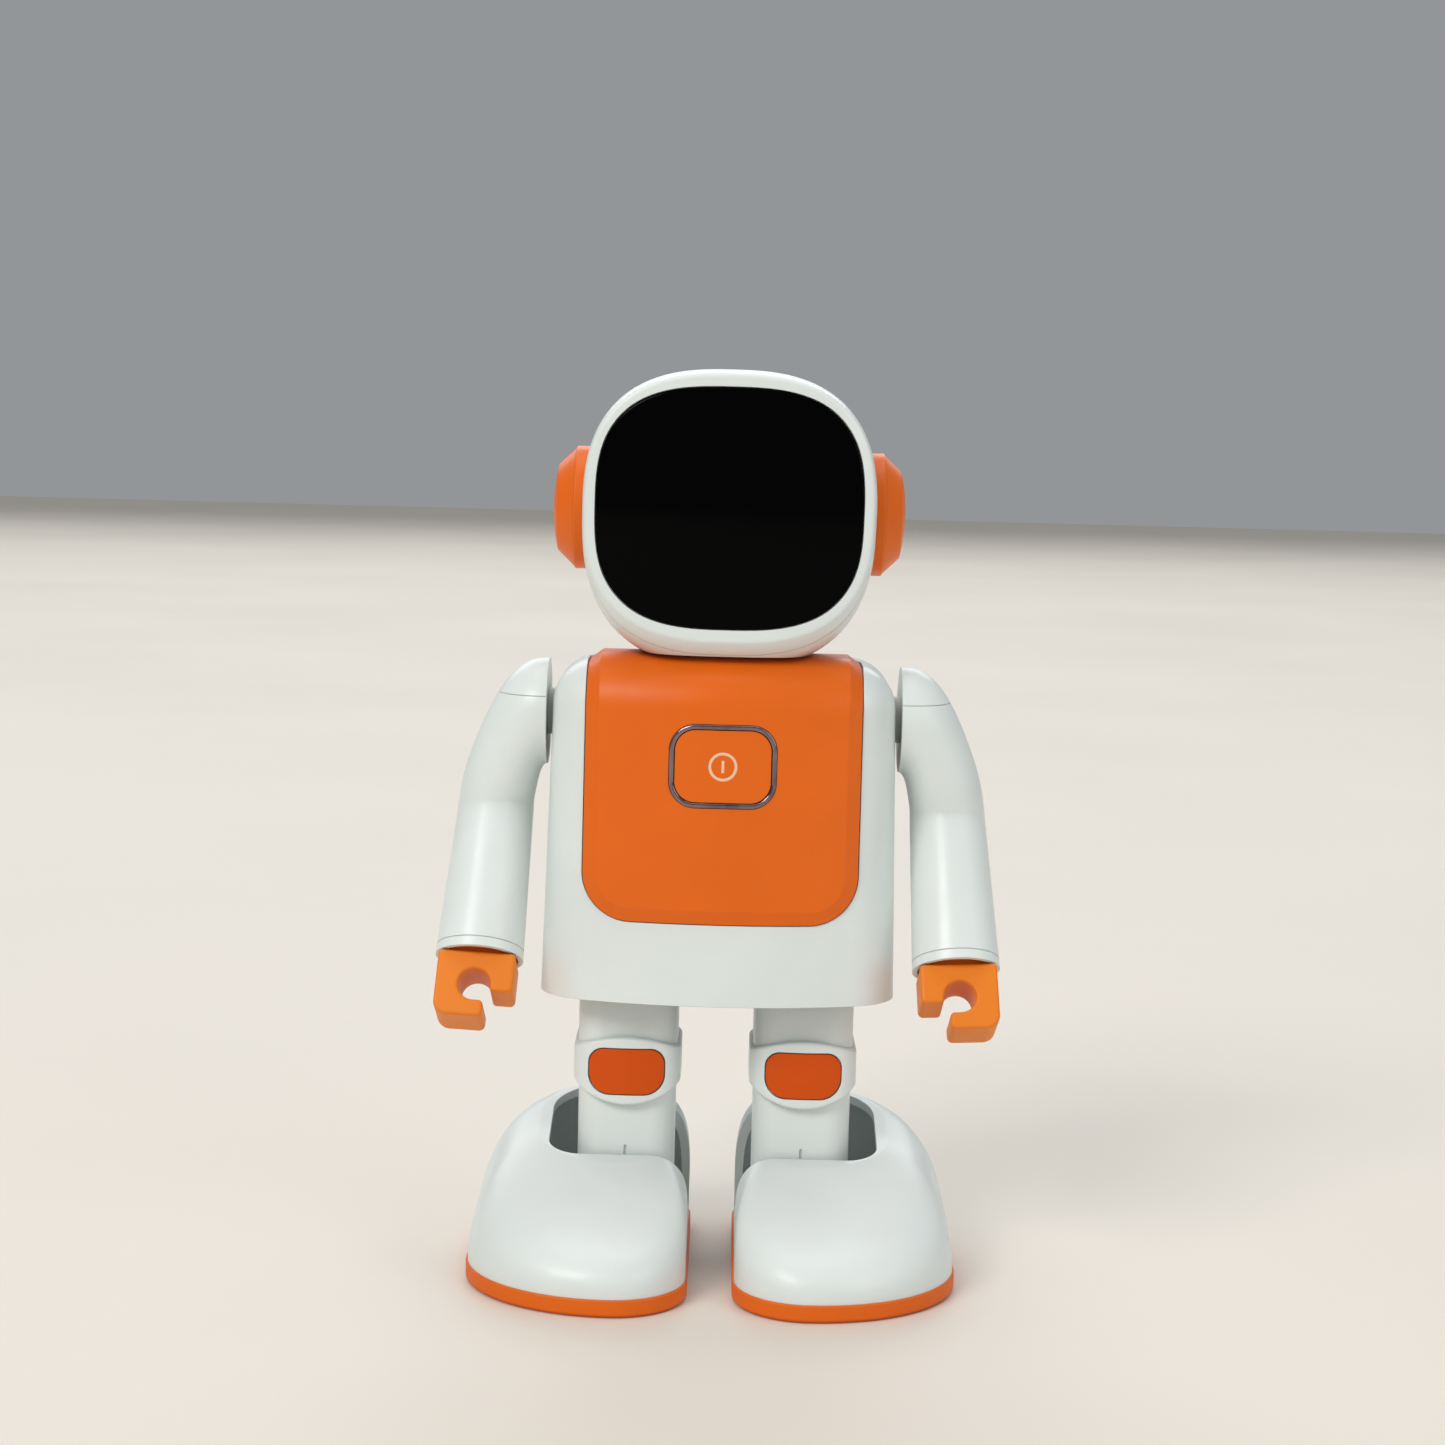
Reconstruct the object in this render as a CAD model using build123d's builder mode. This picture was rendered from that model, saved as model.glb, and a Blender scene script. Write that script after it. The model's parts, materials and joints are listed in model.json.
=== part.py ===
"""Toy robot: a walking, dancing desk robot with a round glossy face and clip hands.

The robot stands on the floor plane Z = 0 and faces -Y; its own left side is +X.
Every piece is drawn about the upright body axis (X = 0, Y = 0). place() then moves it
back by body_y, so that the origin lies on the floor under the middle of the soles.
Pieces that come in pairs are drawn on the left side and mirrored for the right.
"""

from build123d import *
import math
import os

os.makedirs("parts", exist_ok=True)

# ---------------------------------------------------------------- driving dimensions (mm)
body_y = 9.0              # body axis behind the middle of the soles
gap = 0.3                 # parting line between two shells

# torso
torso_bottom = 73.2
torso_top = 160.6
torso_half_width = 46.3   # at the lower edge
torso_front = -31.0
torso_back = 29.0
torso_front_sag = 10.0    # how far the front arc falls back at the sides
torso_back_sag = 6.0
torso_corner = 17.0
torso_draft = 1.3         # degrees
torso_edge = 12.0         # rounding of the top edge
wall = 2.4

# chest panel and power button
panel_half_width = 35.6
panel_bottom = 94.3
panel_corner = 12.5
panel_rise = 1.6
panel_sink = 1.0
panel_bevel = 3.6
panel_gap = 0.25          # shadow line round the panel
button_z = 135.2
ring_width = 27.6
ring_height = 21.5
ring_corner = 6.8
ring_band = 1.4
ring_rise = 1.9
button_play = 0.15
button_back = -25.0       # rear end of the button's stem at rest
button_stem = 3.0
icon_radius = 3.7
icon_line = 0.75
icon_bar = 3.2
icon_depth = 0.35

# head
lens_power = 2.9          # fullness of the lens's oval
head_power = 2.65         # fullness of the head's cross-sections
head_stations = [
    # Y, half width, height above the middle, depth below it, middle's height
    (-28.5, 36.6, 33.7, 33.7, 200.4),
    (-22.0, 37.5, 36.3, 38.0, 199.1),
    (-10.0, 37.7, 36.65, 40.0, 198.85),
    (6.0, 37.0, 36.0, 39.4, 199.0),
    (18.0, 32.8, 31.8, 34.0, 199.6),
    (25.5, 24.6, 23.5, 24.3, 200.2),
    (29.0, 12.5, 11.5, 11.7, 200.6),
]
head_wall = 2.4
head_bottom = torso_top + panel_rise + 0.5      # the head's flat underside
head_seam = -25.3
lens_half_width = 34.1
lens_half_height = 30.7
lens_z = 200.4
lens_gap = 0.2
lens_edge = -28.3         # depth of the lens's rim; its middle stands lens_bulge further out
lens_back = -27.0
lens_bulge = 1.9
lens_dome = 306.0         # radius of the dome
ear_z = 199.0
ear_radius = 16.0
ear_tip_radius = 11.3
neck_radius = 9.0
collar_radius = 15.0
post_bottom = 153.0
head_floor = head_bottom + head_wall + 0.5      # the neck post's flange inside the head
ear_inner = 33.5
ear_seam = 40.2
ear_shoulder = 44.6
ear_tip = 45.9

# arms
shoulder_z = 145.3
shoulder_face = 46.2
hub_radius = 6.15
hub_inner = 38.3
# inner and outer edge of the sleeve's cross-sections as (x, z), with its depth radius
sleeve_stations = [
    ((46.2, 131.4), (46.2, 159.2), 13.9),
    ((47.4, 130.6), (52.5, 157.9), 13.8),
    ((48.4, 128.2), (58.5, 151.8), 13.2),
    ((49.2, 124.4), (64.3, 140.2), 12.3),
]
elbow = (59.7, 0.0, 119.6)
elbow_half_width = 9.95
elbow_depth = 11.6
elbow_tilt = 14.0
wrist = (61.8, -20.0, 82.3)
cuff_radius = 11.4
socket_radius = 10.0
sleeve_wall = 1.7
cap_seam_z = 150.2
cap_gap = 0.1             # the cap's seam is a fine one
cuff_groove = 0.25

# hands, in the wrist's own directions: outward, forward, and on along the forearm
hand_half_width = 9.95
hand_half_depth = 7.25
hand_reach = 17.5
clip_radius = 4.1
clip_centre = 9.0
thumb_end = 10.6
finger_length = 12.7

# legs
leg_x = 23.1
thigh_size = (26.2, 29.0)
shin_size = (25.6, 28.4)
pod_half_width = 14.1
pod_low_arc = (49.5, 43.7)        # height of the lower edge at the sides and in the middle
pod_high_arc = (58.5, 61.6)
leg_corner = 7.0
leg_wall = 2.2
thigh_top = 75.5
knee_split = 52.0
pod_front = -17.2
pod_back = 15.7
pad_width = 20.2
pad_height = 12.5
pad_z = 52.6
pad_depth = 1.3
pad_gap = 0.25            # shadow line round the knee pad
pod_rounding = 0.8
notch_z = 31.0
notch_width = 0.7
notch_height = 3.0
seam_y = 2.0
horn_bottom = 78.9
shin_hollow = 38.0
servo_front = -11.0       # front face of the ankle servo
upright_face = 15.0       # the ankle bracket's uprights stand this far from the leg's axis
upright_thickness = 2.8
hip_radius = 10.0
ankle_z = 19.5
ankle_radius = 2.5
running = 0.05            # radial clearance of a shaft in its hole

# feet
sole_thickness = 4.6
sole_lip = 0.5
foot_wall = 2.2
insole_thickness = 1.2
bracket_width = 24.0
# height of the section plane over the body axis, its slope, and the insets from the sole's
# outline at the inner side, outer side, toe and heel
foot_stations = [
    (4.6, 0.0, 0.0, 0.0, 0.0, 0.0),
    (14.0, 3.0, 0.0, 0.7, 1.5, 0.6),
    (24.5, 7.5, 0.6, 4.0, 10.0, 3.4),
    (30.5, 10.5, 3.3, 9.5, 24.0, 7.5),
    (33.4, 11.2, 7.3, 16.5, 39.0, 11.5),
]
foot_inner = 6.2
foot_outer = 63.0
foot_toe = -60.0
foot_heel = 42.0
opening_front = -16.0
opening_rear = 27.5
opening_outer = 43.5
opening_inner = 16.5
gate_rear = 17.0          # the inner wall is cut away from the opening's front to here
inner_wall_top = 8.0
toe_share = 0.331         # where the toe's and the heel's tips lie across the sole's width
heel_share = 0.38

# inside the torso
plate_bottom = 76.0
plate_thickness = 2.5
speaker_z = 118.0
speaker_radius = 17.5
speaker_face = 24.3
grille_rings = 4
grille_pitch = 3.3
grille_hole = 0.9
port_z = 87.5
port_width = 8.9
port_height = 3.2
torso_screws = [(-27.0, 86.0), (27.0, 86.0), (-26.0, 147.0), (26.0, 147.0)]
screw_head = 2.6
screw_shank = 1.3
screw_depth = 1.4         # how deep a screw's seat lies below the surface
board_face = -21.0
board_thickness = 1.6
battery_bottom = 84.0
battery_height = 44.0
battery_cell = 15.5

# drives
servo_size = (12.2, 22.8, 22.5)   # width, length and height of a small servo
servo_offset = 5.9                # output axis from the near end of the servo's body
servo_shaft = 2.4
shaft_length = 4.9
neck_servo_top = 151.0
hip_servo_bottom = 84.4
motor_inner = 14.5
motor_radius = 8.0
motor_length = 20.0
motor_shaft = 2.0


# ---------------------------------------------------------------- helpers
def place(name, part):
    """Set a piece down in the robot's frame and write it."""
    placed = part.moved(Location((0, body_y, 0)))
    placed.label = name
    export_step(placed, f"parts/{name}.step")


def place_pair(name, part):
    """Write the left piece and its mirror image for the right."""
    place(f"{name}_left", part)
    with BuildPart() as other:
        mirror(part, about=Plane.YZ)
    place(f"{name}_right", other.part)


def facing_front(y, x=0.0, z=0.0):
    """Plane at depth y: local x is X, local y is Z, and it looks towards -Y."""
    return Plane(origin=(x, y, z), x_dir=(1, 0, 0), z_dir=(0, -1, 0))


def facing_left(x, y=0.0, z=0.0):
    """Plane at width x: local x is Y, local y is Z, and it looks towards +X."""
    return Plane(origin=(x, y, z), x_dir=(0, 1, 0), z_dir=(1, 0, 0))


def oval_points(half_width, above, below, power, count=24):
    """Points of an ellipse (power 2) or of a fuller, squarer oval (higher power)."""
    points = []
    for step in range(count):
        angle = math.tau * step / count
        across = abs(math.cos(angle) / half_width) ** power
        along = abs(math.sin(angle) / (above if angle < math.pi else below)) ** power
        reach = (across + along) ** (-1 / power)
        points.append((reach * math.cos(angle), reach * math.sin(angle)))
    return points


def oval(plane, half_width, half_height, power=2.0, below=None):
    """Oval face; below gives its lower half another height than its upper half."""
    with BuildSketch(plane) as section:
        with BuildLine():
            Spline(*oval_points(half_width, half_height, below or half_height, power),
                   periodic=True)
        make_face()
    return section.sketch


# ---------------------------------------------------------------- torso
def torso_solid(grow):
    """The torso's outer form, with every face moved out by grow."""
    half = torso_half_width + grow
    front = torso_front - grow
    back = torso_back + grow
    with BuildPart() as form:
        with BuildSketch(Plane.XY.offset(torso_bottom)) as outline:
            with BuildLine():
                front_edge = ThreePointArc(
                    (-half, front + torso_front_sag), (0, front), (half, front + torso_front_sag))
                back_edge = ThreePointArc(
                    (half, back - torso_back_sag), (0, back), (-half, back - torso_back_sag))
                Line(front_edge @ 1, back_edge @ 0)
                Line(back_edge @ 1, front_edge @ 0)
            make_face()
            fillet(outline.vertices(), torso_corner + grow)
        extrude(amount=torso_top + grow - torso_bottom, taper=torso_draft)
        fillet(form.faces().sort_by(Axis.Z)[-1].edges(), torso_edge + grow)
    return form.part


def rear_surface(x, z):
    """Depth of the torso's back surface near its middle."""
    radius = (torso_half_width ** 2 + torso_back_sag ** 2) / (2 * torso_back_sag)
    sag = radius - math.sqrt(radius ** 2 - x ** 2)
    return torso_back - sag - (z - torso_bottom) * math.tan(math.radians(torso_draft))


def panel_outline(inset):
    """The chest panel's outline seen from the front, pushed back to the shell's seam."""
    half = panel_half_width - inset
    bottom = panel_bottom + inset
    with BuildPart() as prism:
        with BuildSketch(facing_front(-gap / 2)):
            with BuildLine():
                FilletPolyline(
                    (-half, torso_top + 20), (-half, bottom), (half, bottom), (half, torso_top + 20),
                    radius=panel_corner - inset)
                Line((half, torso_top + 20), (-half, torso_top + 20))
            make_face()
        extrude(amount=60)
    return prism.part


def button_outline(inset, depth=60.0):
    """Prism of the button ring's outline, made smaller by inset all round."""
    with BuildPart() as prism:
        with BuildSketch(facing_front(-20, z=button_z)):
            RectangleRounded(ring_width - 2 * inset, ring_height - 2 * inset, ring_corner - inset)
        extrude(amount=depth)
    return prism.part


# ---------------------------------------------------------------- torso pieces
def neck_opening():
    with BuildPart() as opening:
        with BuildSketch(Plane.XY.offset(torso_top - 12)):
            Circle(collar_radius)
        extrude(amount=20)
    return opening.part


def panel_bed():
    """The shallow recess that the chest panel is glued into."""
    with BuildPart() as bed:
        add(panel_outline(0.0))
        add(torso_solid(-panel_sink), mode=Mode.SUBTRACT)
    return bed.part


def screw_seat(x, z):
    """Depth of a screw's seat in the torso's back."""
    return rear_surface(x, z) - screw_depth


def make_torso_shells():
    with BuildPart() as shell:
        add(torso_solid(0))
        add(torso_solid(-wall), mode=Mode.SUBTRACT)
        add(neck_opening(), mode=Mode.SUBTRACT)
        with BuildSketch(facing_left(-60, z=shoulder_z)):
            Circle(hub_radius + running)
        extrude(amount=120, mode=Mode.SUBTRACT)

    with BuildPart() as front:
        add(shell.part)
        split(bisect_by=Plane.XZ.offset(gap / 2), keep=Keep.TOP)
        add(panel_bed(), mode=Mode.SUBTRACT)
        add(button_outline(ring_band), mode=Mode.SUBTRACT)
    place("torso_front_shell", front.part)

    with BuildPart() as rear:
        add(shell.part)
        split(bisect_by=Plane.XZ.offset(-gap / 2), keep=Keep.BOTTOM)
        outside = torso_back + 5
        with BuildSketch(facing_front(outside, z=speaker_z)):
            Circle(grille_hole)
            for ring in range(1, grille_rings + 1):
                with PolarLocations(ring * grille_pitch, 6 * ring):
                    Circle(grille_hole)
        extrude(amount=11, mode=Mode.SUBTRACT)
        with BuildSketch(facing_front(outside, z=port_z)):
            RectangleRounded(port_width + 2 * gap, port_height + 2 * gap, port_height / 2)
        extrude(amount=12, mode=Mode.SUBTRACT)
        for x, z in torso_screws:
            with BuildSketch(facing_front(outside, x, z)):
                Circle(screw_head + gap)
            extrude(amount=outside - screw_seat(x, z), mode=Mode.SUBTRACT)
            with BuildSketch(facing_front(outside, x, z)):
                Circle(screw_shank + running)
            extrude(amount=14, mode=Mode.SUBTRACT)
    place("torso_rear_shell", rear.part)


def lies_on(edge, solid):
    """Whether an edge runs along the surface of a solid."""
    offsets = [min(face.distance_to(edge @ t) for face in solid.faces()) for t in (0, 0.5, 1)]
    return max(offsets) < 0.01


def make_chest_panel():
    outer = torso_solid(panel_rise)
    outline = panel_outline(panel_gap)
    with BuildPart() as panel:
        add(outline)
        add(outer, mode=Mode.INTERSECT)
        add(torso_solid(-panel_sink), mode=Mode.SUBTRACT)
        rim = panel.edges().filter_by(
            lambda edge: lies_on(edge, outer) and lies_on(edge, outline) and (edge @ 0.5).Y < -gap)
        chamfer(rim, length=panel_rise - gap, length2=panel_bevel)
        add(neck_opening(), mode=Mode.SUBTRACT)
        add(button_outline(0.0), mode=Mode.SUBTRACT)
    place("chest_panel", panel.part)


def power_mark():
    """Prism of the power symbol: a ring with an upright bar in it."""
    with BuildPart() as mark:
        with BuildSketch(facing_front(torso_front + 6, z=button_z)):
            Circle(icon_radius)
            Circle(icon_radius - icon_line, mode=Mode.SUBTRACT)
            Rectangle(icon_line, icon_bar)
        extrude(amount=20)
        add(torso_solid(panel_rise - icon_depth), mode=Mode.SUBTRACT)
    return mark.part


def make_button():
    outer = torso_solid(ring_rise)
    with BuildPart() as ring:
        add(button_outline(running))
        add(button_outline(ring_band), mode=Mode.SUBTRACT)
        add(outer, mode=Mode.INTERSECT)
        add(torso_solid(-panel_sink), mode=Mode.SUBTRACT)
        fillet(ring.edges().filter_by(lambda edge: lies_on(edge, outer)), 0.5)
    place("button_ring", ring.part)

    with BuildPart() as cap:
        add(button_outline(ring_band + button_play))
        add(torso_solid(panel_rise), mode=Mode.INTERSECT)
        add(torso_solid(-panel_sink), mode=Mode.SUBTRACT)
        with BuildSketch(facing_front(button_back, z=button_z)):
            Circle(button_stem)
        extrude(amount=button_back - torso_front - 2)
        add(power_mark(), mode=Mode.SUBTRACT)
    place("power_button", cap.part)

    with BuildPart() as icon:
        add(power_mark())
        add(torso_solid(panel_rise), mode=Mode.INTERSECT)
    place("power_icon", icon.part)


def make_base_plate():
    with BuildPart() as plate:
        add(torso_solid(-wall - 0.15))
        with BuildSketch(Plane.XY.offset(plate_bottom + plate_thickness)):
            Rectangle(200, 200)
        extrude(amount=200, mode=Mode.SUBTRACT)
        with BuildSketch(Plane.XY.offset(plate_bottom)):
            Rectangle(200, 200)
        extrude(amount=-200, mode=Mode.SUBTRACT)
        with BuildSketch(Plane.XY.offset(plate_bottom)):
            with Locations((-leg_x, 0), (leg_x, 0)):
                Circle(hip_radius + running)
        extrude(amount=plate_thickness, mode=Mode.SUBTRACT)
    place("torso_base_plate", plate.part)


def make_collar():
    with BuildPart() as collar:
        with BuildSketch(Plane.XY.offset(torso_top - wall - gap)):
            Circle(collar_radius + 1.5)
        extrude(amount=-1.8)
        with BuildSketch(Plane.XY.offset(torso_top - wall - gap)):
            Circle(collar_radius - running)
        extrude(amount=wall + gap + 0.6)
        with BuildSketch(Plane.XY.offset(torso_top - 8)):
            Circle(neck_radius + running)
        extrude(amount=20, mode=Mode.SUBTRACT)
        chamfer(collar.faces().sort_by(Axis.Z)[-1].edges(), 0.4)
    place("neck_collar", collar.part)


def servo(axis_x, mouth_z, up):
    """A small servo whose output turns about the upright line at (axis_x, 0)."""
    width, length, height = servo_size
    middle = length / 2 - servo_offset
    direction = 1 if up else -1
    with BuildPart() as unit:
        with BuildSketch(Plane.XY.offset(mouth_z)):
            with Locations((axis_x, middle)):
                Rectangle(width, length)
        extrude(amount=-direction * height)
        with BuildSketch(Plane.XY.offset(mouth_z - direction * 4)):
            with Locations((axis_x, middle)):
                RectangleRounded(width - 1, length + 9, 1.5)
                with Locations((0, -length / 2 - 2.3), (0, length / 2 + 2.3)):
                    Circle(1.1, mode=Mode.SUBTRACT)
        extrude(amount=-direction * 2.2)
        with BuildSketch(Plane.XY.offset(mouth_z)):
            with Locations((axis_x, 0)):
                Circle(servo_shaft)
        extrude(amount=direction * shaft_length)
    return unit.part


def make_drives():
    place("neck_servo", servo(0.0, neck_servo_top, True))
    place_pair("hip_servo", servo(leg_x, hip_servo_bottom, False))

    with BuildPart() as motor:
        with BuildSketch(facing_left(motor_inner, z=shoulder_z)):
            Circle(motor_radius)
        extrude(amount=motor_length)
        chamfer(motor.edges().filter_by(GeomType.CIRCLE), 0.8)
        with BuildSketch(facing_left(motor_inner + motor_length, z=shoulder_z)):
            Circle(motor_shaft)
        extrude(amount=7)
    place_pair("shoulder_motor", motor.part)


def make_electronics():
    with BuildPart() as battery:
        with BuildSketch(Plane.XY.offset(battery_bottom)):
            with Locations((-battery_cell / 2, 0), (battery_cell / 2, 0)):
                Circle(battery_cell / 2)
            Rectangle(battery_cell, battery_cell)
        extrude(amount=battery_height)
        fillet(battery.edges().filter_by(GeomType.CIRCLE), 0.8)
    place("battery_pack", battery.part)

    with BuildPart() as board:
        with BuildSketch(facing_front(board_face, z=120)):
            RectangleRounded(60, 58, 3)
            with GridLocations(53, 51, 2, 2):
                Circle(1.4, mode=Mode.SUBTRACT)
        extrude(amount=-board_thickness)
        with BuildSketch(facing_front(board_face + board_thickness, z=108)):
            with Locations((-15, 0), (15, 0)):
                Rectangle(12, 12)
        extrude(amount=-1.4)
        with BuildSketch(facing_front(board_face + board_thickness, z=140)):
            with GridLocations(18, 1, 3, 1):
                Rectangle(9, 4)
        extrude(amount=-3.0)
    place("main_board", board.part)

    with BuildPart() as switch:
        with BuildSketch(facing_front(board_face, z=button_z)):
            Rectangle(6, 6)
        extrude(amount=2.2)
        with BuildSketch(facing_front(board_face - 2.2, z=button_z)):
            Circle(1.7)
        extrude(amount=0.8)
    place("button_switch", switch.part)

    with BuildPart() as speaker:
        with BuildSketch(facing_front(speaker_face, z=speaker_z)):
            Circle(speaker_radius)
            Circle(speaker_radius - 4, mode=Mode.SUBTRACT)
        extrude(amount=2)
        with BuildSketch(facing_front(speaker_face - 1, z=speaker_z)):
            Circle(speaker_radius - 3)
        with BuildSketch(facing_front(speaker_face - 7, z=speaker_z)):
            Circle(9)
        loft()
        with BuildSketch(facing_front(speaker_face - 7, z=speaker_z)):
            Circle(10)
        extrude(amount=5)
    place("speaker_driver", speaker.part)

    socket_face = rear_surface(0, port_z) - 1
    with BuildPart() as socket:
        with BuildSketch(facing_front(socket_face, z=port_z)):
            RectangleRounded(port_width, port_height, port_height / 2 - 0.1)
            RectangleRounded(port_width - 0.8, port_height - 0.8, port_height / 2 - 0.5, mode=Mode.SUBTRACT)
        extrude(amount=6.5)
        with BuildSketch(facing_front(socket_face - 6.5, z=port_z)):
            RectangleRounded(port_width, port_height, port_height / 2 - 0.1)
        extrude(amount=1)
        with BuildSketch(facing_front(socket_face - 1, z=port_z)):
            Rectangle(port_width - 3, 0.7)
        extrude(amount=6)
    place("charging_socket", socket.part)

    with BuildPart() as screws:
        for x, z in torso_screws:
            seat = screw_seat(x, z)
            with BuildSketch(facing_front(seat, x, z)):
                Circle(screw_head)
            extrude(amount=-1.2)
            with BuildSketch(facing_front(seat, x, z)):
                Circle(screw_shank)
            extrude(amount=5)
            with BuildSketch(facing_front(seat + 1.2, x, z)):
                Rectangle(2.6, 0.6)
                Rectangle(0.6, 2.6)
            extrude(amount=0.7, mode=Mode.SUBTRACT)
    place("torso_screws", screws.part)


# ---------------------------------------------------------------- head
def head_form(inset, depth_scale):
    """The head's oval body with its flat underside, or with an inset its inner hollow."""
    sections = [
        oval(facing_front(y * depth_scale, z=z), half_width - inset, above - inset, head_power,
             below - inset)
        for y, half_width, above, below, z in head_stations]
    with BuildPart() as form:
        loft(sections)
        fillet(form.faces().sort_by(Axis.Y)[-1].edges(), 8)
        split(bisect_by=Plane.XY.offset(head_bottom + inset), keep=Keep.TOP)
    return form.part


def lens_prism(inset, start, depth):
    plane = facing_front(start, z=lens_z)
    section = oval(plane, lens_half_width - inset, lens_half_height - inset, lens_power)
    with BuildPart() as prism:
        extrude(section, amount=depth)
    return prism.part


def make_head():
    with BuildPart() as bezel:
        add(head_form(0, 1))
        split(bisect_by=Plane.XZ.offset(-head_seam + gap / 2), keep=Keep.TOP)
        fillet(bezel.faces().sort_by(Axis.Y)[0].edges(), 1.2)
        add(lens_prism(0, lens_back, 10), mode=Mode.SUBTRACT)
        add(lens_prism(3, lens_back + 5, 10), mode=Mode.SUBTRACT)
    place("head_bezel", bezel.part)

    with BuildPart() as ball:
        Sphere(lens_dome)
    dome = ball.part.moved(Location((0, lens_edge - lens_bulge + lens_dome, lens_z)))
    with BuildPart() as lens:
        add(lens_prism(lens_gap, lens_back, 6))
        add(dome, mode=Mode.INTERSECT)
        fillet(lens.faces().sort_by(Axis.Y)[0].edges(), 0.6)
    place("face_lens", lens.part)

    with BuildPart() as display:
        with BuildSketch(facing_front(head_seam + 2.2, z=lens_z)):
            RectangleRounded(46, 34, 3)
        extrude(amount=-1.6)
        with BuildSketch(facing_front(head_seam + 2.2, z=lens_z)):
            Rectangle(38, 26)
        extrude(amount=1.4)
    place("display_board", display.part)

    with BuildPart() as rear:
        add(head_form(0, 1))
        split(bisect_by=Plane.XZ.offset(-head_seam - gap / 2), keep=Keep.BOTTOM)
        add(head_form(head_wall, 0.9), mode=Mode.SUBTRACT)
        with BuildSketch(Plane.XY.offset(150)):
            Circle(neck_radius)
        extrude(amount=25, mode=Mode.SUBTRACT)
        with BuildSketch(facing_left(-60, z=ear_z)):
            Circle(ear_radius + running)
        extrude(amount=120, mode=Mode.SUBTRACT)
    place("head_rear_shell", rear.part)

    with BuildPart() as post:
        with BuildSketch(Plane.XY.offset(post_bottom)):
            Circle(neck_radius)
        extrude(amount=head_floor - post_bottom)
        with BuildSketch(Plane.XY.offset(head_floor)):
            Circle(neck_radius + 3)
        extrude(amount=2.4)
        with BuildSketch(Plane.XY.offset(post_bottom)):
            Circle(servo_shaft + running)
        extrude(amount=4.5, mode=Mode.SUBTRACT)
        with BuildSketch(Plane.XY.offset(post_bottom + 7)):
            Circle(neck_radius - 3)
        extrude(amount=20, mode=Mode.SUBTRACT)
    place("neck_post", post.part)


def make_ear():
    with BuildPart() as ring:
        with BuildSketch(facing_left(ear_inner, z=ear_z)):
            Circle(ear_radius)
            Circle(ear_radius - 4, mode=Mode.SUBTRACT)
        extrude(amount=ear_seam - ear_inner)
        fillet(ring.faces().sort_by(Axis.X)[-1].edges().sort_by(SortBy.LENGTH)[-1], 0.5)
    place_pair("ear_ring", ring.part)

    spigot = ear_radius - 4 - running
    with BuildPart() as cap:
        with BuildSketch(Plane(origin=(0, 0, ear_z), x_dir=(1, 0, 0), z_dir=(0, -1, 0))):
            with BuildLine():
                Polyline((ear_tip, 0), (ear_inner + 2.5, 0), (ear_inner + 2.5, spigot),
                         (ear_seam, spigot), (ear_seam, ear_radius - 0.5),
                         (ear_shoulder, ear_tip_radius))
                ThreePointArc((ear_shoulder, ear_tip_radius),
                              (ear_tip - 0.25, ear_tip_radius / 2), (ear_tip, 0))
            make_face()
        revolve(axis=Axis((0, 0, ear_z), (1, 0, 0)))
        fillet(cap.edges().filter_by(GeomType.CIRCLE).filter_by(
            lambda edge: abs(edge.radius - ear_tip_radius) < 0.01), 0.6)
    place_pair("ear_cap", cap.part)


# ---------------------------------------------------------------- arms
def forearm_plane(along=0.0):
    """Plane across the forearm, measured from the cuff's rim: x outward, y forward."""
    axis = (Vector(*wrist) - Vector(*elbow)).normalized()
    outward = Vector(1, 0, 0)
    outward = (outward - axis * outward.dot(axis)).normalized()
    return Plane(origin=Vector(*wrist) + axis * along, x_dir=outward, z_dir=axis)


def sleeve_section(inner, outer, depth, inset):
    """Ellipse across the upper sleeve between its inner and its outer edge."""
    across = Vector(outer[0] - inner[0], 0, outer[1] - inner[1])
    middle = Vector((outer[0] + inner[0]) / 2, 0, (outer[1] + inner[1]) / 2)
    direction = across.normalized()
    plane = Plane(origin=middle, x_dir=direction, z_dir=direction.cross(Vector(0, -1, 0)))
    return oval(plane, across.length / 2 - inset, depth - inset)


def elbow_section(inset):
    lean = math.radians(elbow_tilt)
    down = (0, -math.sin(lean), -math.cos(lean))
    plane = Plane(origin=elbow, x_dir=(1, 0, 0), z_dir=down)
    return oval(plane, elbow_half_width - inset, elbow_depth - inset)


def sleeve_form(inset):
    """The bent sleeve from the shoulder's flat face to the cuff, solid."""
    upper = [sleeve_section(*station, inset) for station in sleeve_stations]
    bend = elbow_section(inset)
    cuff = oval(forearm_plane(), cuff_radius - inset, cuff_radius - inset)
    with BuildPart() as form:
        loft(upper + [bend])
        loft([bend, cuff], ruled=True)
    return form.part


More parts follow.
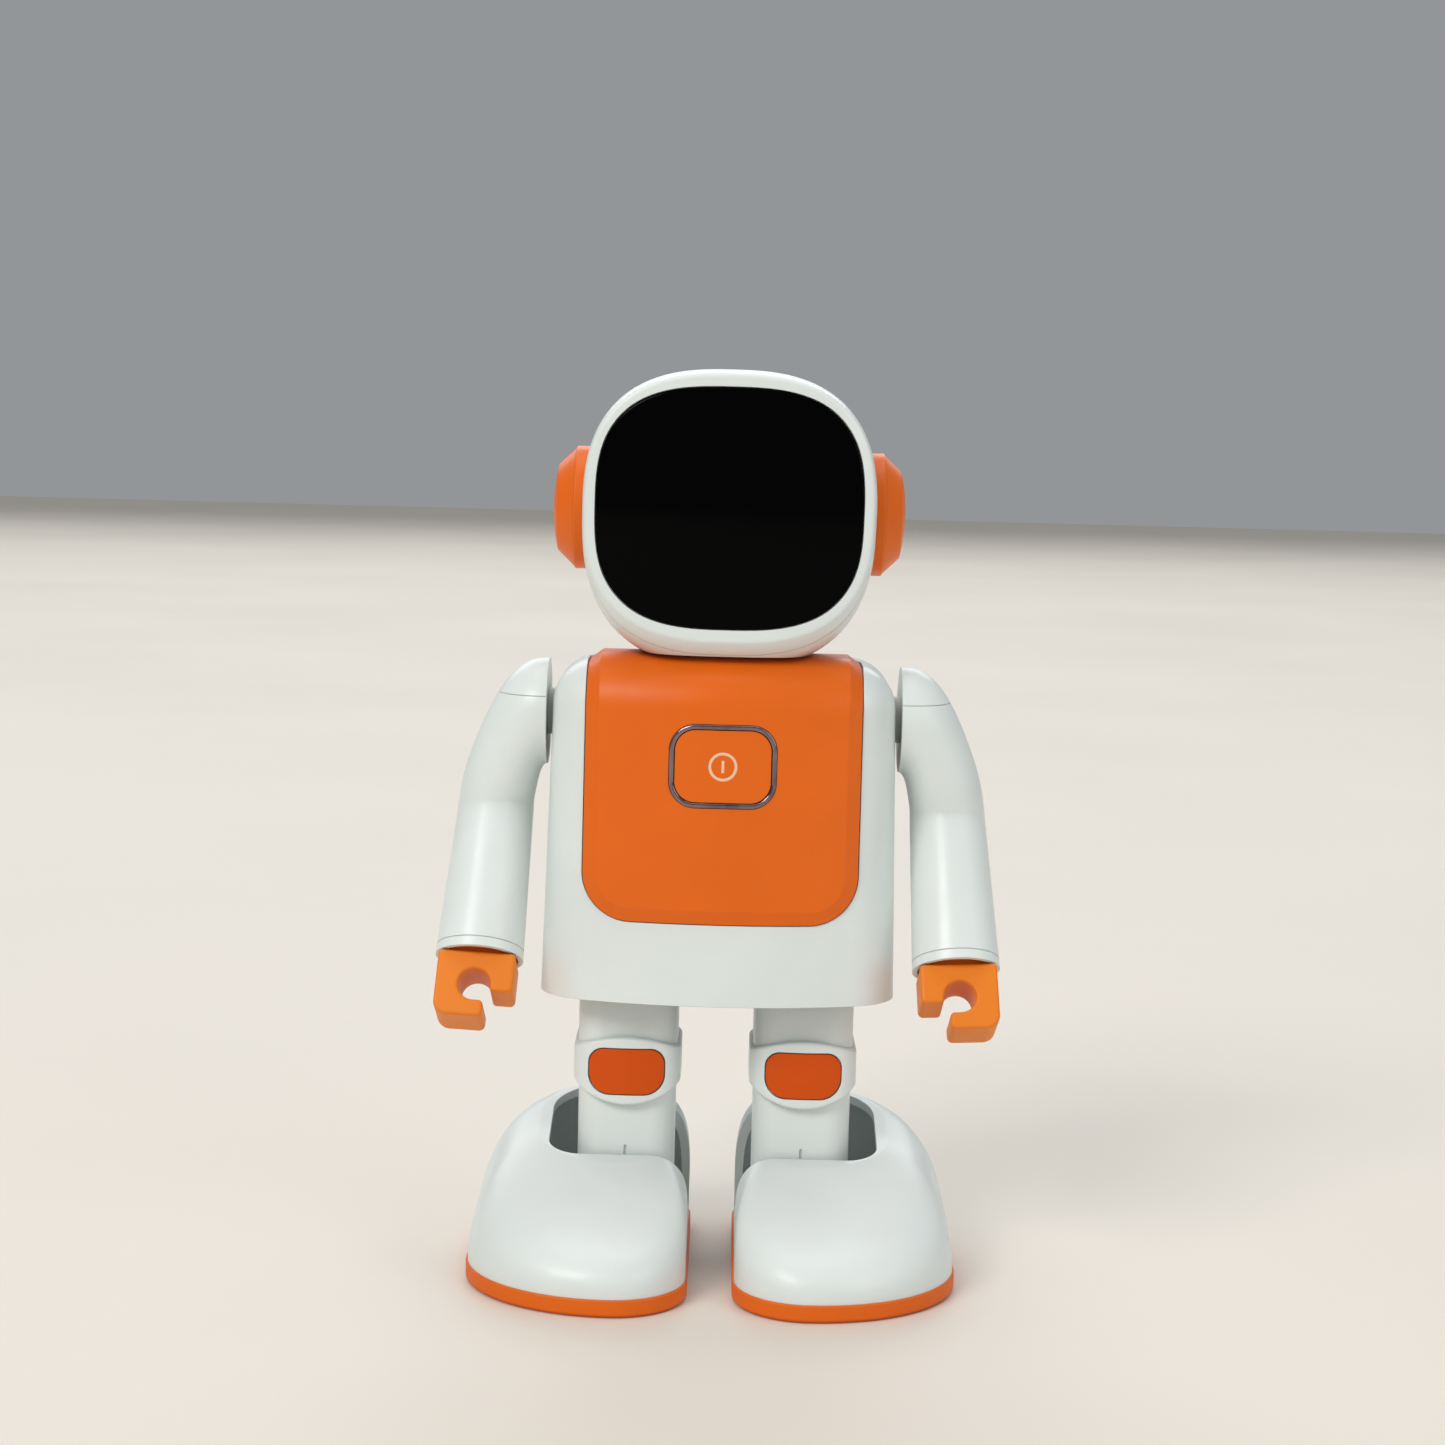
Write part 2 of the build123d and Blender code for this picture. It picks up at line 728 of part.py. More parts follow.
def make_arm():
    with BuildPart() as arm:
        add(sleeve_form(0))
        add(shoulder_hollow(), mode=Mode.SUBTRACT)
        with BuildSketch(forearm_plane(-12.5)):
            Circle(socket_radius)
        extrude(amount=13, mode=Mode.SUBTRACT)
        with BuildSketch(forearm_plane(-2.6)):
            Circle(cuff_radius + 3)
            Circle(cuff_radius - cuff_groove, mode=Mode.SUBTRACT)
        extrude(amount=cuff_groove, mode=Mode.SUBTRACT)

    with BuildPart() as cap:
        add(arm.part)
        split(bisect_by=Plane.XY.offset(cap_seam_z + cap_gap / 2), keep=Keep.TOP)
    place_pair("shoulder_cap", cap.part)

    with BuildPart() as sleeve:
        add(arm.part)
        split(bisect_by=Plane.XY.offset(cap_seam_z - cap_gap / 2), keep=Keep.BOTTOM)
    place_pair("sleeve", sleeve.part)

    with BuildPart() as hub:
        with BuildSketch(facing_left(shoulder_face, z=shoulder_z)):
            Circle(hub_radius)
        extrude(amount=-(shoulder_face - hub_inner))
        with BuildSketch(facing_left(hub_inner, z=shoulder_z)):
            Circle(hub_radius + 2)
        extrude(amount=2)
        with BuildSketch(facing_left(hub_inner, z=shoulder_z)):
            Circle(motor_shaft + running)
        extrude(amount=4, mode=Mode.SUBTRACT)
    place_pair("shoulder_hub", hub.part)


def shoulder_hollow():
    """Inside of the sleeve, closed by the flat face at the shoulder."""
    with BuildPart() as hollow:
        add(sleeve_form(sleeve_wall))
        split(bisect_by=Plane.YZ.offset(shoulder_face + sleeve_wall), keep=Keep.TOP)
    return hollow.part


def make_hand():
    root = -0.8
    flat = forearm_plane()
    tip = hand_half_width - finger_length
    corners = [
        # outline of the clip: x outward, y back up the forearm, and the corner's rounding
        (hand_half_width, -gap, 1.2),
        (hand_half_width, -hand_reach, 3.6),
        (tip, -hand_reach, 1.5),
        (tip, -clip_centre - clip_radius, 1.2),
        (0, -clip_centre - clip_radius, 0),
        (0, -clip_centre, 0),
        (-clip_radius, -clip_centre, 0),
        (-clip_radius, -thumb_end, 1.0),
        (-hand_half_width, -thumb_end, 1.4),
        (-hand_half_width, -gap, 1.2),
    ]
    with BuildPart() as hand:
        with BuildSketch(Plane(origin=flat.origin, x_dir=flat.x_dir, z_dir=flat.y_dir)) as outline:
            Polygon(*[(x, y) for x, y, rounding in corners], align=None)
            with Locations((0, -clip_centre)):
                Circle(clip_radius, mode=Mode.SUBTRACT)
            for x, y, rounding in corners:
                if rounding:
                    fillet(outline.vertices().sort_by_distance((x, y))[0], rounding)
        extrude(amount=hand_half_depth, both=True)
        broad_faces = hand.faces().filter_by(Axis((0, 0, 0), flat.y_dir))
        fillet(broad_faces.edges(), 0.8)
        with BuildSketch(forearm_plane(-9.0)):
            Circle(socket_radius - running)
        extrude(amount=9.0 + root)
        with BuildSketch(forearm_plane(root)):
            RectangleRounded(15.6, 11.4, 1.5)
        extrude(amount=1.5 - root)
    place_pair("hand", hand.part)


# ---------------------------------------------------------------- legs
def leg_prism(size, bottom, top, shrink=0.0):
    """Upright block with rounded corners about the leg's axis."""
    width, depth = size
    with BuildPart() as prism:
        with BuildSketch(Plane.XY.offset(bottom)):
            with Locations((leg_x, 0)):
                RectangleRounded(width - 2 * shrink, depth - 2 * shrink, leg_corner - shrink)
        extrude(amount=top - bottom)
    return prism.part


def pod_form(grow):
    """The knee pod's outer body with its curved front face moved out by grow."""
    half = pod_half_width
    with BuildPart() as form:
        with BuildSketch(Plane.XY.offset(pod_low_arc[1] - 5)) as plan:
            with BuildLine():
                front = ThreePointArc(
                    (leg_x - half, pod_front - grow + 2.5), (leg_x, pod_front - grow),
                    (leg_x + half, pod_front - grow + 2.5))
                Polyline(front @ 1, (leg_x + half, pod_back), (leg_x - half, pod_back), front @ 0)
            make_face()
            fillet(plan.vertices(), leg_corner)
        extrude(amount=40)
        with BuildSketch(facing_front(40, x=leg_x)):
            with BuildLine():
                low_side, low_middle = pod_low_arc
                high_side, high_middle = pod_high_arc
                low = ThreePointArc((-half, low_side), (0, low_middle), (half, low_side))
                high = ThreePointArc((half, high_side), (0, high_middle), (-half, high_side))
                Line(low @ 1, high @ 0)
                Line(high @ 1, low @ 0)
            make_face()
        extrude(amount=80, mode=Mode.INTERSECT)
    return form.part


def pad_prism(inset):
    """Outline of the knee pad, fuller below than above, pushed through the pod's front."""
    half = pad_width / 2 - inset
    with BuildPart() as prism:
        with BuildSketch(facing_front(pod_front + 4, leg_x, pad_z)) as outline:
            Rectangle(2 * half, pad_height - 2 * inset)
            fillet(outline.vertices().group_by(Axis.Y)[-1], 4.0)
            fillet(outline.vertices().group_by(Axis.Y)[0], 5.6)
        extrude(amount=10)
    return prism.part


def make_leg():
    with BuildPart() as thigh:
        add(leg_prism(thigh_size, knee_split, thigh_top))
        fillet(thigh.faces().sort_by(Axis.Z)[-1].edges(), 1.5)
        add(leg_prism(thigh_size, knee_split, thigh_top - 3, leg_wall), mode=Mode.SUBTRACT)
        with BuildSketch(Plane.XY.offset(thigh_top - 1)):
            with Locations((leg_x, 0)):
                Circle(hip_radius)
        extrude(amount=horn_bottom - thigh_top + 1)
        with BuildSketch(facing_left(leg_x - thigh_size[0] / 2, z=0)):
            with Locations((seam_y, (knee_split + thigh_top) / 2)):
                Rectangle(0.35, 40)
        extrude(amount=0.4, mode=Mode.SUBTRACT)
    place_pair("thigh", thigh.part)

    with BuildPart() as horn:
        with BuildSketch(Plane.XY.offset(horn_bottom)):
            with Locations((leg_x, 0)):
                Circle(hip_radius + 2)
                Circle(servo_shaft + running, mode=Mode.SUBTRACT)
        extrude(amount=2.6)
        chamfer(horn.edges().filter_by(GeomType.CIRCLE).sort_by(Axis.Z)[-2:], 0.4)
    place_pair("hip_horn", horn.part)

    inner = leg_prism(shin_size, shin_hollow, knee_split, leg_wall)
    with BuildPart() as shin:
        add(leg_prism(shin_size, 0, knee_split))
        half = shin_size[0] / 2
        with BuildSketch(facing_front(40, x=leg_x)):
            with BuildLine():
                Polyline((-half, ankle_z), (-half, knee_split), (half, knee_split), (half, ankle_z))
                ThreePointArc((half, ankle_z), (0, ankle_z - half), (-half, ankle_z))
            make_face()
        extrude(amount=80, mode=Mode.INTERSECT)
        add(inner, mode=Mode.SUBTRACT)
        with BuildSketch(facing_front(servo_front - 0.2, x=leg_x)):
            with Locations((0, (12.0 + shin_hollow + 1) / 2)):
                Rectangle(servo_size[0] + 0.4, shin_hollow + 1 - 12.0)
        extrude(amount=-(servo_size[2] + 0.4), mode=Mode.SUBTRACT)
        with BuildSketch(facing_front(0, leg_x, ankle_z)):
            Circle(servo_shaft + running)
        extrude(amount=40, mode=Mode.SUBTRACT)
        with BuildSketch(facing_front(0, leg_x, ankle_z)):
            Circle(ankle_radius + running)
        extrude(amount=-40, mode=Mode.SUBTRACT)
        # small moulding notch on the front
        with BuildSketch(facing_front(-shin_size[1] / 2, leg_x, notch_z)):
            SlotOverall(notch_height, notch_width, rotation=90)
        extrude(amount=-0.5, mode=Mode.SUBTRACT)
    place_pair("shin", shin.part)

    with BuildPart() as pod:
        add(pod_form(0))
        fillet(pod.edges().filter_by(lambda edge: edge.center().Y < 20), pod_rounding)
        add(leg_prism(thigh_size, 30, 80), mode=Mode.SUBTRACT)
        bed = pad_bed(0)
        add(bed, mode=Mode.SUBTRACT)
    place_pair("knee_pod", pod.part)

    with BuildPart() as pad:
        add(pad_bed(pad_gap))
        add(pod_form(0.15), mode=Mode.INTERSECT)
        fillet(pad.edges().filter_by(lambda edge: lies_on(edge, pod_form(0.15))), 0.3)
    place_pair("knee_pad", pad.part)

    with BuildPart() as drive:
        width, length, height = servo_size
        with BuildSketch(facing_front(servo_front, leg_x, ankle_z + length / 2 - servo_offset)):
            Rectangle(width, length)
        extrude(amount=-height)
        with BuildSketch(facing_front(servo_front, leg_x, ankle_z)):
            Circle(servo_shaft)
        extrude(amount=upright_face + upright_thickness + servo_front)
    place_pair("ankle_servo", drive.part)


def pad_bed(inset):
    """Space of the knee pad: its outline down to an even depth below the pod's front."""
    with BuildPart() as bed:
        add(pad_prism(inset))
        add(pod_form(-pad_depth), mode=Mode.SUBTRACT)
    return bed.part


# ---------------------------------------------------------------- feet
def foot_section(plane, inner, outer, toe, heel):
    """The shoe's outline: straight inner side, bulging outer side, skewed round toe."""
    length = heel - toe
    width = outer - inner
    toe_x = inner + toe_share * width
    heel_x = inner + heel_share * width
    toe_inner = toe + 0.196 * length
    toe_outer = toe + 0.353 * length
    heel_inner = heel - 0.196 * length
    heel_outer = heel - 0.392 * length
    with BuildSketch(plane) as section:
        with BuildLine():
            Line((inner, heel_inner), (inner, toe_inner))
            EllipticalCenterArc((toe_x, toe_inner), toe_x - inner, toe_inner - toe, 180)
            EllipticalCenterArc((toe_x, toe_outer), outer - toe_x, toe_outer - toe, 270)
            Line((outer, toe_outer), (outer, heel_outer))
            EllipticalCenterArc((heel_x, heel_outer), outer - heel_x, heel - heel_outer, 0)
            EllipticalCenterArc((heel_x, heel_inner), heel_x - inner, heel - heel_inner, 90)
        make_face()
    return section.sketch


def foot_form(inset, drop):
    """The shoe's outer body, or with an inset its hollow."""
    sections = []
    for height, slope, inner, outer, toe, heel in foot_stations:
        lean = math.radians(slope)
        lowered = height - drop * (height - sole_thickness) / (foot_stations[-1][0] - sole_thickness)
        plane = Plane(origin=(0, 0, lowered), x_dir=(1, 0, 0), z_dir=(0, -math.sin(lean), math.cos(lean)))
        sections.append(foot_section(
            plane, foot_inner + inner + inset, foot_outer - outer - inset,
            foot_toe + toe + inset, foot_heel - heel - inset))
    with BuildPart() as form:
        loft(sections)
    return form.part


def make_foot():
    with BuildPart() as shell:
        add(foot_form(0, 0))
        fillet(shell.faces().sort_by(Axis.Z)[-1].edges(), 1.5)
        add(foot_form(foot_wall, foot_wall), mode=Mode.SUBTRACT)
        # the leg's opening, and beside the leg the inner wall cut down to a low sill
        with BuildSketch(Plane.XY.offset(inner_wall_top)) as opening:
            with BuildLine():
                Polyline((opening_inner, opening_front), (opening_outer, opening_front),
                         (opening_outer, opening_rear), (opening_inner, opening_rear), close=True)
            make_face()
            for x, y, rounding in (
                    (opening_outer, opening_front, 8.5),
                    (opening_outer, opening_rear, 16.0),
                    (opening_inner, opening_rear, 6.5)):
                fillet(opening.vertices().sort_by_distance((x, y))[0], rounding)
        extrude(amount=60, mode=Mode.SUBTRACT)
        with BuildSketch(Plane.XY.offset(inner_wall_top)):
            with Locations((opening_inner / 2 + 1, (opening_front + gate_rear) / 2)):
                Rectangle(opening_inner + 2, gate_rear - opening_front)
        extrude(amount=60, mode=Mode.SUBTRACT)
    place_pair("foot_shell", shell.part)

    lip = sole_lip
    outline = foot_section(
        Plane.XY, foot_inner - lip, foot_outer + lip, foot_toe - lip, foot_heel + lip)
    with BuildPart() as sole:
        extrude(outline, amount=sole_thickness)
        fillet(sole.faces().sort_by(Axis.Z)[0].edges(), 1.2)
        fillet(sole.faces().sort_by(Axis.Z)[-1].edges(), 0.4)
        with BuildSketch(Plane.XY):
            for y in (-38, -27, 27):
                with Locations(((foot_inner + foot_outer) / 2 - 1, y)):
                    SlotOverall(32, 2)
        extrude(amount=0.7, mode=Mode.SUBTRACT)
        with BuildSketch(Plane.XY):
            with Locations(*foot_screw_places()):
                Circle(screw_head + 0.3)
        extrude(amount=2.4, mode=Mode.SUBTRACT)
        with BuildSketch(Plane.XY):
            with Locations(*foot_screw_places()):
                Circle(screw_shank + running)
        extrude(amount=sole_thickness, mode=Mode.SUBTRACT)
    place_pair("sole", sole.part)

    bracket_length = 2 * (upright_face + upright_thickness)
    edge = foot_wall + gap
    floor = foot_section(
        Plane.XY.offset(sole_thickness), foot_inner + edge, foot_outer - edge,
        foot_toe + edge, foot_heel - edge)
    with BuildPart() as insole:
        extrude(floor, amount=insole_thickness)
        with BuildSketch(Plane.XY.offset(sole_thickness)):
            with Locations((leg_x, 0)):
                RectangleRounded(bracket_width + 2 * gap, bracket_length + 2 * gap, 1.5 + gap)
        extrude(amount=insole_thickness, mode=Mode.SUBTRACT)
    place_pair("insole", insole.part)

    with BuildPart() as bracket:
        with BuildSketch(Plane.XY.offset(sole_thickness)):
            with Locations((leg_x, 0)):
                RectangleRounded(bracket_width, bracket_length, 1.5)
        extrude(amount=1.6)
        with BuildSketch(facing_front(upright_face + upright_thickness, leg_x, ankle_z)):
            Circle(5)
            with BuildLine():
                Polyline((-7, sole_thickness + 1 - ankle_z), (7, sole_thickness + 1 - ankle_z),
                         (5, 0), (-5, 0), close=True)
            make_face()
        extrude(amount=bracket_length)
        with BuildSketch(facing_front(upright_face, leg_x)):
            with Locations((0, sole_thickness + 1.6 + 20)):
                Rectangle(60, 40)
        extrude(amount=2 * upright_face, mode=Mode.SUBTRACT)
        with BuildSketch(Plane.XY.offset(sole_thickness)):
            with Locations(*foot_screw_places()):
                Circle(screw_shank + running)
        extrude(amount=5, mode=Mode.SUBTRACT)
        with BuildSketch(facing_front(0, leg_x, ankle_z)):
            Circle(servo_shaft + running)
        extrude(amount=40, mode=Mode.SUBTRACT)
        with BuildSketch(facing_front(0, leg_x, ankle_z)):
            Circle(ankle_radius)
        extrude(amount=-40, mode=Mode.SUBTRACT)
    place_pair("ankle_bracket", bracket.part)

    with BuildPart() as pin:
        with BuildSketch(facing_front(upright_face + upright_thickness, leg_x, ankle_z)):
            Circle(ankle_radius)
        extrude(amount=upright_face + upright_thickness - 11.9)
        chamfer(pin.edges().sort_by(Axis.Y)[0], 0.4)
    place_pair("ankle_pin", pin.part)

    with BuildPart() as screws:
        with BuildSketch(Plane.XY.offset(2.4 - 1.6)):
            with Locations(*foot_screw_places()):
                Circle(screw_head)
        extrude(amount=1.6)
        with BuildSketch(Plane.XY.offset(2.4)):
            with Locations(*foot_screw_places()):
                Circle(screw_shank)
        extrude(amount=sole_thickness + 1.5 - 2.4)
        with BuildSketch(Plane.XY):
            with Locations(*foot_screw_places()):
                Rectangle(2.8, 0.6)
                Rectangle(0.6, 2.8)
        extrude(amount=1.5, mode=Mode.SUBTRACT)
    place_pair("foot_screws", screws.part)


def foot_screw_places():
    return [(leg_x + x, y) for x in (-8, 8) for y in (-12, 12)]


make_torso_shells()
make_chest_panel()
make_button()
make_base_plate()
make_collar()
make_drives()
make_electronics()
make_head()
make_ear()
make_arm()
make_hand()
make_leg()
make_foot()
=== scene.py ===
"""Looks of the toy robot: finishes for every CAD node, a few fine pieces, floor, light and camera."""

import json
import math

import bmesh
import bpy
from mathutils import Matrix, Vector


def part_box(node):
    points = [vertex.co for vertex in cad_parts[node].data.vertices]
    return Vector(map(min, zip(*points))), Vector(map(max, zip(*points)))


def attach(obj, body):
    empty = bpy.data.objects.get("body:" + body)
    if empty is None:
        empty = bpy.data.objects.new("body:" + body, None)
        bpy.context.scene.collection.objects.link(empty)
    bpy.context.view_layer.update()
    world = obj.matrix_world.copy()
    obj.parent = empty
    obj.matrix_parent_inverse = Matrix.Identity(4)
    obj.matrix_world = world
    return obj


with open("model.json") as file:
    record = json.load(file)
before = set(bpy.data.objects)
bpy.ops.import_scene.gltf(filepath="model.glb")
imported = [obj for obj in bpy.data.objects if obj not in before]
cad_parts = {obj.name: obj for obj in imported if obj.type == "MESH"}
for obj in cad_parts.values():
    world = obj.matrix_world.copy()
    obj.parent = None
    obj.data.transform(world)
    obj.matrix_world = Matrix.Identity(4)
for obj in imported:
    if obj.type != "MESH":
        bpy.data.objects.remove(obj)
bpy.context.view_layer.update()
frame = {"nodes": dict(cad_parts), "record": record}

MM = 0.001


# ---------------------------------------------------------------- material graph helpers
class Graph:
    """A node material under construction, with short calls for the nodes used here."""

    def __init__(self, name):
        self.material = bpy.data.materials.new(name)
        self.material.use_nodes = True
        self.tree = self.material.node_tree
        self.shader = self.tree.nodes["Principled BSDF"]
        coordinates = self.node("ShaderNodeTexCoord")
        self.place = coordinates.outputs["Object"]

    def node(self, kind, **settings):
        made = self.tree.nodes.new(kind)
        for key, value in settings.items():
            setattr(made, key, value)
        return made

    def link(self, source, target):
        self.tree.links.new(source, target)

    def stretch(self, scale):
        mapping = self.node("ShaderNodeMapping")
        mapping.inputs["Scale"].default_value = scale
        self.link(self.place, mapping.inputs["Vector"])
        return mapping.outputs["Vector"]

    def noise(self, scale, detail=3.0, rough=0.5, where=None, warp=0.0):
        made = self.node("ShaderNodeTexNoise")
        made.inputs["Scale"].default_value = scale
        made.inputs["Detail"].default_value = detail
        made.inputs["Roughness"].default_value = rough
        made.inputs["Distortion"].default_value = warp
        self.link(where or self.place, made.inputs["Vector"])
        return made.outputs["Fac"]

    def cells(self, scale, feature="F1", where=None):
        made = self.node("ShaderNodeTexVoronoi", feature=feature)
        made.inputs["Scale"].default_value = scale
        self.link(where or self.place, made.inputs["Vector"])
        return made.outputs["Distance"]

    def span(self, value, low, high, to_low=0.0, to_high=1.0):
        made = self.node("ShaderNodeMapRange")
        made.inputs["From Min"].default_value = low
        made.inputs["From Max"].default_value = high
        made.inputs["To Min"].default_value = to_low
        made.inputs["To Max"].default_value = to_high
        self.link(value, made.inputs["Value"])
        return made.outputs["Result"]

    def maths(self, operation, first, second):
        made = self.node("ShaderNodeMath", operation=operation)
        for socket, value in zip(made.inputs, (first, second)):
            if isinstance(value, (int, float)):
                socket.default_value = value
            else:
                self.link(value, socket)
        return made.outputs["Value"]

    def mix(self, factor, first, second):
        made = self.node("ShaderNodeMix", data_type="RGBA")
        for socket, value in ((made.inputs["Factor"], factor), (made.inputs["A"], first),
                              (made.inputs["B"], second)):
            if isinstance(value, (int, float)):
                socket.default_value = value
            elif isinstance(value, tuple):
                socket.default_value = (*value, 1.0)
            else:
                self.link(value, socket)
        return made.outputs["Result"]

    def edges(self, radius):
        """1 on edges narrower than radius, 0 on open faces."""
        bevel = self.node("ShaderNodeBevel", samples=4)
        bevel.inputs["Radius"].default_value = radius
        geometry = self.node("ShaderNodeNewGeometry")
        dot = self.node("ShaderNodeVectorMath", operation="DOT_PRODUCT")
        self.link(bevel.outputs["Normal"], dot.inputs[0])
        self.link(geometry.outputs["Normal"], dot.inputs[1])
        return self.span(dot.outputs["Value"], 0.98, 0.75)

    def crevice(self, distance):
        """Ambient-occlusion mask: 1 deep in seams and corners, where shade falls, 0 in the open."""
        occlusion = self.node("ShaderNodeAmbientOcclusion", samples=4)
        occlusion.inputs["Distance"].default_value = distance
        return self.span(occlusion.outputs["AO"], 0.75, 0.15)

    def level_band(self, low, high, outside, inside):
        """Value that is inside between two levels of Z, outside elsewhere, and smooth between."""
        split = self.node("ShaderNodeSeparateXYZ")
        self.link(self.place, split.inputs["Vector"])
        level = split.outputs["Z"]
        margin = (high - low) / 4
        rising = self.span(level, low, low + margin)
        falling = self.span(level, high, high - margin)
        return self.span(self.maths("MULTIPLY", rising, falling), 0.0, 1.0, outside, inside)

    def bump(self, heights, rounding=None):
        """Chain of bumps from (height socket, depth in metres), over softly rounded edges."""
        normal = None
        if rounding is not None:
            bevel = self.node("ShaderNodeBevel", samples=4)
            if isinstance(rounding, float):
                bevel.inputs["Radius"].default_value = rounding
            else:
                bevel.samples = 12
                self.link(rounding, bevel.inputs["Radius"])
            normal = bevel.outputs["Normal"]
        for height, depth in heights:
            made = self.node("ShaderNodeBump")
            made.inputs["Distance"].default_value = depth
            self.link(height, made.inputs["Height"])
            if normal:
                self.link(normal, made.inputs["Normal"])
            normal = made.outputs["Normal"]
        self.link(normal, self.shader.inputs["Normal"])

    def colour(self, source):
        self.link(source, self.shader.inputs["Base Color"])

    def roughness(self, source):
        self.link(source, self.shader.inputs["Roughness"])

    def constants(self, **values):
        for key, value in values.items():
            self.shader.inputs[key.replace("_", " ")].default_value = value


def shade(colour, factor):
    return tuple(min(1.0, channel * factor) for channel in colour)


# ---------------------------------------------------------------- finishes
def moulded(name, colour, rough, worn, dust, grain=2600.0, grain_depth=6e-6, flow_depth=2.5e-5,
            specular=0.42, coat=0.0, soft_bend=None):
    """Injection-moulded plastic: faint flow and speck variation, fine grain, rubbed edges, and a seam
    colour that is painted shade on light plastics and dust on dark ones.

    soft_bend gives the lowest and highest level of a bend whose edge looks rounder.
    """
    g = Graph(name)
    flow = g.noise(26.0, detail=4.0, warp=0.6)
    specks = g.noise(1400.0, detail=2.0)
    handling = g.noise(75.0, detail=6.0, rough=0.62)
    tone = g.mix(g.span(flow, 0.3, 0.7), shade(colour, 0.955), shade(colour, 1.035))
    tone = g.mix(g.span(specks, 0.62, 0.76, 0.0, 0.16), tone, shade(colour, 0.86))
    tone = g.mix(g.maths("MULTIPLY", g.edges(0.35 * MM), 0.45), tone, worn)
    # Seams and corners take the dust colour through ambient occlusion. It is painted shade on the white
    # and orange plastics and a light dust on the dark ones.
    tone = g.mix(g.maths("MULTIPLY", g.crevice(2.2 * MM), 0.4), tone, dust)
    g.colour(tone)
    polish = g.span(handling, 0.3, 0.72, rough - 0.06, rough + 0.09)
    g.roughness(g.maths("ADD", polish, g.span(specks, 0.3, 0.7, -0.015, 0.015)))
    rounding = 0.3 * MM
    if soft_bend:
        rounding = g.level_band(*soft_bend, rounding, 6.0 * MM)
    g.bump([(g.noise(grain, detail=2.0), grain_depth), (g.noise(48.0, detail=1.0), flow_depth)],
           rounding=rounding)
    g.constants(IOR=1.49, Specular_IOR_Level=specular, Coat_Weight=coat, Coat_Roughness=0.12)
    return g.material


def lens_finish():
    """Polished black window: deep gloss, with faint smears and a little dust."""
    g = Graph("lens_black")
    smears = g.noise(38.0, detail=5.0, rough=0.6, where=g.stretch((1.0, 1.0, 2.4)), warp=1.2)
    dust = g.cells(620.0)
    specks = g.span(dust, 0.035, 0.02)
    g.colour(g.mix(g.maths("MULTIPLY", specks, 0.12), (0.0006, 0.0006, 0.0007), (0.16, 0.16, 0.16)))
    polish = g.span(smears, 0.35, 0.75, 0.03, 0.085)
    g.roughness(g.maths("ADD", polish, g.maths("MULTIPLY", specks, 0.25)))
    g.bump([(g.noise(22.0, detail=1.0), 8e-6)])
    g.constants(IOR=1.45, Specular_IOR_Level=0.05)
    return g.material


def chrome_finish():
    """Plated trim: mirror metal with slight waviness and fine handling haze."""
    g = Graph("chrome_trim")
    haze = g.noise(160.0, detail=5.0)
    g.colour(g.mix(g.span(haze, 0.3, 0.7), (0.15, 0.11, 0.13), (0.30, 0.25, 0.27)))
    g.roughness(g.span(haze, 0.3, 0.75, 0.06, 0.17))
    g.bump([(g.noise(240.0, detail=2.0), 1.2e-5)], rounding=0.25 * MM)
    g.constants(Metallic=1.0)
    return g.material


def steel_finish():
    """Zinc-plated steel with turning marks and duller patches."""
    g = Graph("plated_steel")
    lathe = g.noise(900.0, detail=3.0, where=g.stretch((1.0, 0.08, 1.0)))
    patches = g.noise(190.0, detail=4.0)
    g.colour(g.mix(g.span(patches, 0.3, 0.7), (0.40, 0.40, 0.42), (0.62, 0.61, 0.60)))
    g.roughness(g.span(lathe, 0.25, 0.75, 0.22, 0.42))
    g.bump([(lathe, 8e-6)], rounding=0.12 * MM)
    g.constants(Metallic=1.0)
    return g.material


def board_finish():
    """Circuit board: solder mask over a grid of copper runs."""
    g = Graph("circuit_board")
    runs = g.node("ShaderNodeTexBrick")
    runs.inputs["Scale"].default_value = 260.0
    runs.inputs["Mortar Size"].default_value = 0.06
    g.link(g.stretch((1.0, 0.0, 1.0)), runs.inputs["Vector"])
    mask = g.noise(70.0, detail=3.0)
    green = g.mix(g.span(mask, 0.3, 0.7), (0.008, 0.085, 0.036), (0.014, 0.12, 0.05))
    g.colour(g.mix(g.maths("MULTIPLY", runs.outputs["Fac"], 0.6), green, (0.05, 0.22, 0.09)))
    g.roughness(g.span(mask, 0.3, 0.7, 0.24, 0.36))
    g.bump([(runs.outputs["Fac"], 3e-5)])
    return g.material


def film_finish():
    """Heat-shrink film: glossy, with fine tension wrinkles."""
    g = Graph("battery_film")
    wrinkles = g.noise(240.0, detail=3.0, where=g.stretch((1.0, 1.0, 0.25)), warp=0.8)
    tone = g.noise(35.0)
    g.colour(g.mix(g.span(tone, 0.3, 0.7), (0.018, 0.07, 0.19), (0.03, 0.11, 0.27)))
    g.roughness(g.span(wrinkles, 0.3, 0.7, 0.16, 0.32))
    g.bump([(wrinkles, 9e-5)])
    return g.material


def cloth_finish():
    """Fine black acoustic cloth behind the speaker holes."""
    g = Graph("speaker_cloth")
    weft = g.node("ShaderNodeTexWave", bands_direction="X")
    warp = g.node("ShaderNodeTexWave", bands_direction="Z")
    for threads in (weft, warp):
        threads.inputs["Scale"].default_value = 900.0
        g.link(g.place, threads.inputs["Vector"])
    weave = g.maths("MULTIPLY", weft.outputs["Fac"], warp.outputs["Fac"])
    g.colour(g.mix(weave, (0.004, 0.004, 0.004), (0.03, 0.03, 0.032)))
    g.roughness(g.span(weave, 0.0, 1.0, 0.95, 0.75))
    g.bump([(weave, 1.2e-4)])
    return g.material
